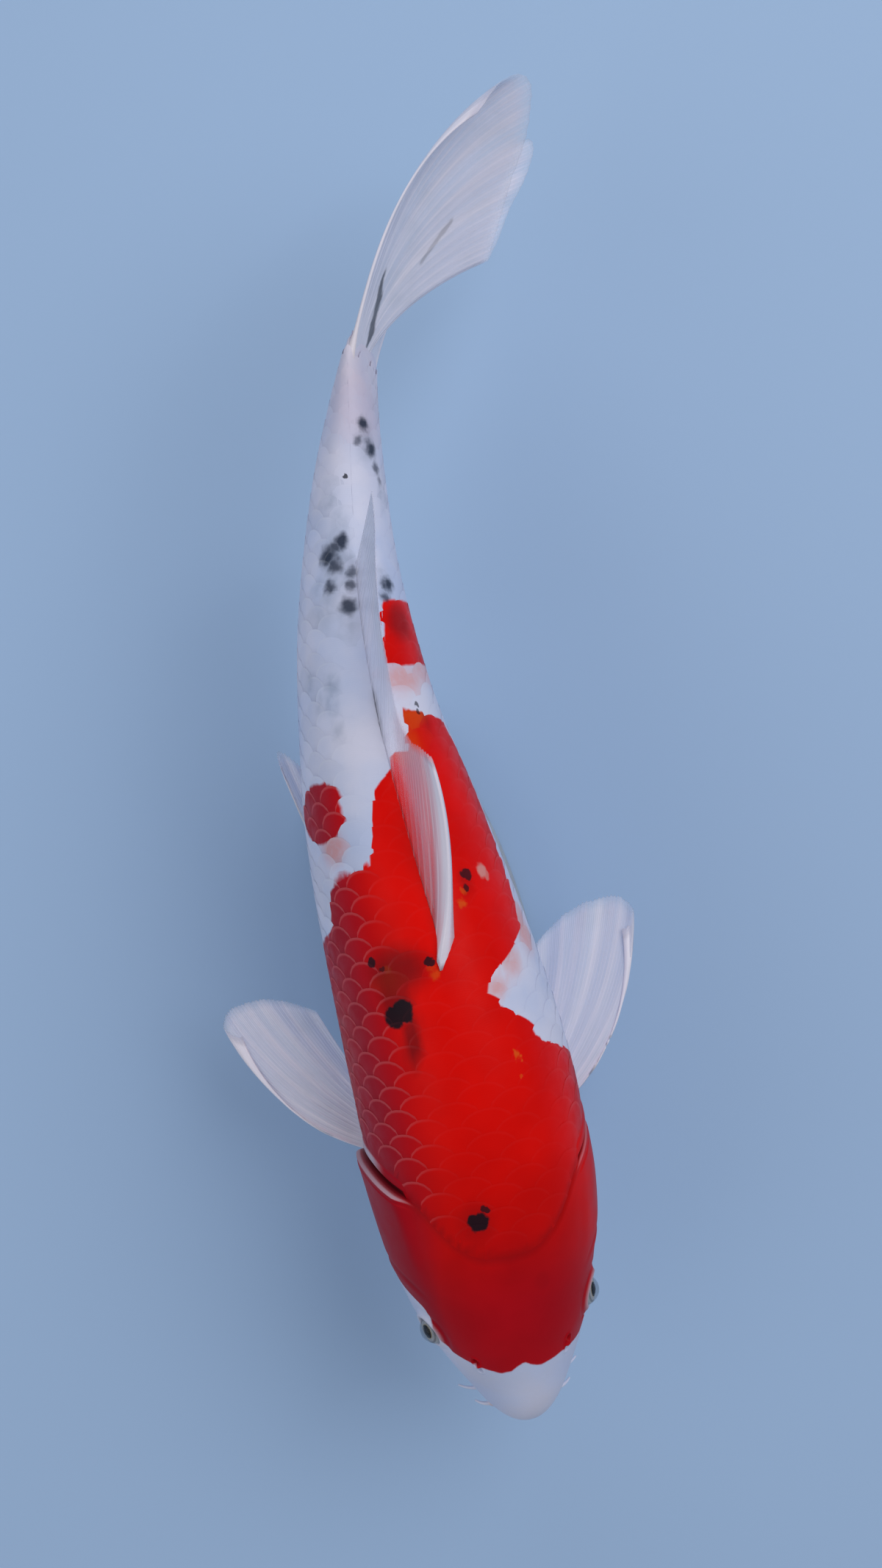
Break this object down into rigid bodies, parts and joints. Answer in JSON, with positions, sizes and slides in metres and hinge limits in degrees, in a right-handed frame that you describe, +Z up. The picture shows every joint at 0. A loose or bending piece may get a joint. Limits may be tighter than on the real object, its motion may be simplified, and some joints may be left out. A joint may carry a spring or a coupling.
{
  "type": "koi carp",
  "caption": "Life-size koi carp in a gentle swimming bend, white with red and black markings, held over a flat oval base by two short rods.",
  "frame": {"origin": "middle of the underside of the oval stand base, under the centre of mass", "axes": "+Z up, +Y along the fish from snout to tail, +X to the fish's left side"},
  "size_m": [0.1691, 0.5186, 0.2069],
  "materials": {
    "skin_red": "wet satin fish skin, red",
    "skin_white": "wet satin fish skin, white",
    "fin": "translucent white fin with fine rays",
    "eye": "wet dark eye",
    "stand_base": "satin pale blue-grey",
    "stand_rod": "brushed"
  },
  "bodies": {
    "root": {"head": "skin_red", "upper_lip": "skin_white", "lower_lip": "skin_white", "trunk_front": "skin_red", "trunk_rear": "skin_red", "tail_stock": "skin_white", "eye_left": "eye", "eye_right": "eye", "gill_cover_left": "skin_red", "gill_cover_right": "skin_red", "barbel_short_left": "skin_white", "barbel_short_right": "skin_white", "barbel_long_left": "skin_white", "barbel_long_right": "skin_white", "pectoral_fin_left": "fin", "pectoral_fin_right": "fin", "pelvic_fin_left": "fin", "pelvic_fin_right": "fin", "dorsal_fin": "fin", "anal_fin": "fin", "tail_fin_upper": "fin", "tail_fin_lower": "fin", "stand_base": "stand_base", "stand_rod_front": "stand_rod", "stand_rod_rear": "stand_rod"}
  },
  "joints": []
}
